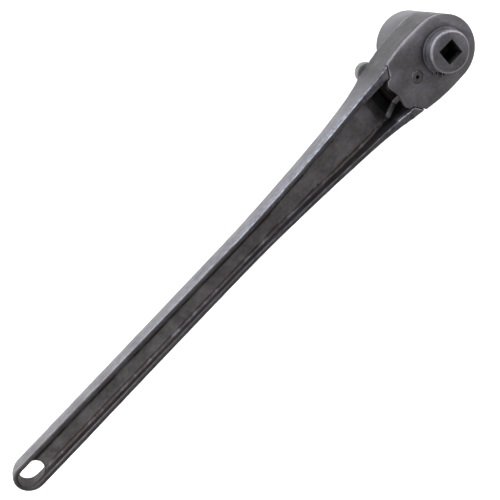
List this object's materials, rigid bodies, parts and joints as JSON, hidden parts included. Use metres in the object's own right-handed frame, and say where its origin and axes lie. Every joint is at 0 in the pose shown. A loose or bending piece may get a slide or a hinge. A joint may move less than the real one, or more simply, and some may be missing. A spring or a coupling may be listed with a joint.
{
  "type": "fire hydrant ratchet wrench",
  "caption": "Reversible ratchet hydrant wrench: cast channel handle with hanging hole, pentagon socket, square drive hub and thumb lever.",
  "frame": {"origin": "centre of the pentagon socket's floor, on the gear's axis", "axes": "+Z along the gear's axis towards the square drive hub, out of the cover plate; the handle runs along -X; +Y is the side that the thumb lever points to at rest"},
  "size_m": [0.4872, 0.0522, 0.0762],
  "materials": {
    "black_cast_iron": "black oxide over an as-cast skin, satin on the sides",
    "blued_plate": "matte dark grey steel plate",
    "gear_steel": "blackened steel, satin",
    "pin_steel": "dark steel, satin",
    "rough_cast": "rough as-cast, greenish grey",
    "spring_wire": "bright drawn wire"
  },
  "bodies": {
    "frame": {"handle_casting": "black_cast_iron", "cover_plate": "blued_plate", "pawl_pin": "pin_steel"},
    "gear": {"ratchet_gear": "gear_steel", "snap_ring": "pin_steel"},
    "pawl": {"pawl": "gear_steel", "shift_tongue": "pin_steel", "tongue_rivet_1": "pin_steel", "tongue_rivet_2": "pin_steel"},
    "shifter": {"shift_shaft": "pin_steel", "thumb_lever": "rough_cast", "lever_pin": "spring_wire", "lever_washer": "pin_steel", "shift_spring": "spring_wire"}
  },
  "joints": [
    {"name": "gear_spin", "type": "hinge", "parent": "frame", "child": "gear", "pos_m": [0, 0, 0], "axis": [0, 0, 1], "continuous": true},
    {"name": "shift_turn", "type": "hinge", "parent": "frame", "child": "shifter", "pos_m": [-0.0352, 0, 0], "axis": [0, 0, 1], "range_deg": [0, 124.6], "deforming": ["shift_spring"]},
    {"name": "pawl_swing", "type": "hinge", "parent": "frame", "child": "pawl", "pos_m": [-0.0263, 0, 0], "axis": [0, 0, 1], "range_deg": [-28, 0]}
  ],
  "couplings": [
    {"joint": "pawl_swing", "follows": "shift_turn", "ratio": -0.2247}
  ]
}
